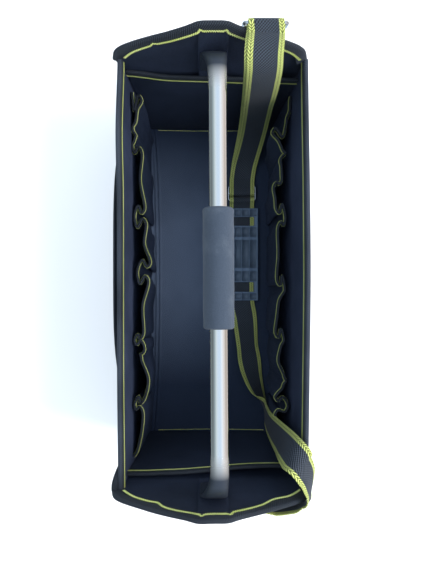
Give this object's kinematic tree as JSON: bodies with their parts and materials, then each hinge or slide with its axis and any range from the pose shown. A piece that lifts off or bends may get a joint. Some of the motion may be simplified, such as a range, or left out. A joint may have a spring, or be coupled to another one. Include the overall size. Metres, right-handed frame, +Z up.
{
  "type": "trapping bag",
  "caption": "Open soft-sided carry bag with bound edges, gathered inner pockets, a bent steel tube handle and a padded shoulder strap.",
  "frame": {"origin": "middle of the base, on the ground", "axes": "+X across the bag to the strap's side, +Y along it to the end where the strap is doubled, +Z up"},
  "size_m": [0.2397, 0.5473, 0.3095],
  "materials": {
    "twill": "black and navy heavy twill",
    "lining": "black heavy twill",
    "binding": "dark ribbed webbing with zigzag stitching",
    "strap_webbing": "dark webbing with lime edge bands",
    "foam": "soft matte foam",
    "moulded": "moulded, with fine ribs",
    "steel_tube": "polished tube",
    "bright_metal": "plated"
  },
  "bodies": {
    "root": {"side_wall_left": "twill", "side_wall_right": "twill", "end_panel_far": "twill", "end_panel_near": "twill", "end_pocket_far": "twill", "end_pocket_near": "twill", "handle_patch_far": "twill", "handle_patch_near": "twill", "outer_pocket": "twill", "base_panel": "lining", "floor_panel": "lining", "pocket_left_1": "lining", "pocket_left_2": "lining", "pocket_left_3": "lining", "pocket_left_4": "lining", "pocket_left_5": "lining", "pocket_left_6": "lining", "pocket_right_1": "lining", "pocket_right_2": "lining", "pocket_right_3": "lining", "pocket_right_4": "lining", "pocket_right_5": "lining", "pocket_right_6": "lining", "side_rim_left": "binding", "side_rim_right": "binding", "end_rim_far": "binding", "end_rim_near": "binding", "end_pocket_edge_far": "binding", "end_pocket_edge_near": "binding", "pocket_edge_left": "binding", "pocket_edge_right": "binding", "outer_pocket_edge": "binding", "shoulder_strap": "strap_webbing", "strap_tab_far": "strap_webbing", "strap_tab_near": "strap_webbing", "foam_grip": "foam", "shoulder_pad": "moulded", "handle_tube": "steel_tube", "strap_ring_far": "bright_metal", "strap_ring_near": "bright_metal", "strap_slider": "bright_metal", "handle_rivet_far_1": "bright_metal", "handle_rivet_far_2": "bright_metal", "handle_rivet_near_1": "bright_metal", "handle_rivet_near_2": "bright_metal"}
  },
  "joints": []
}
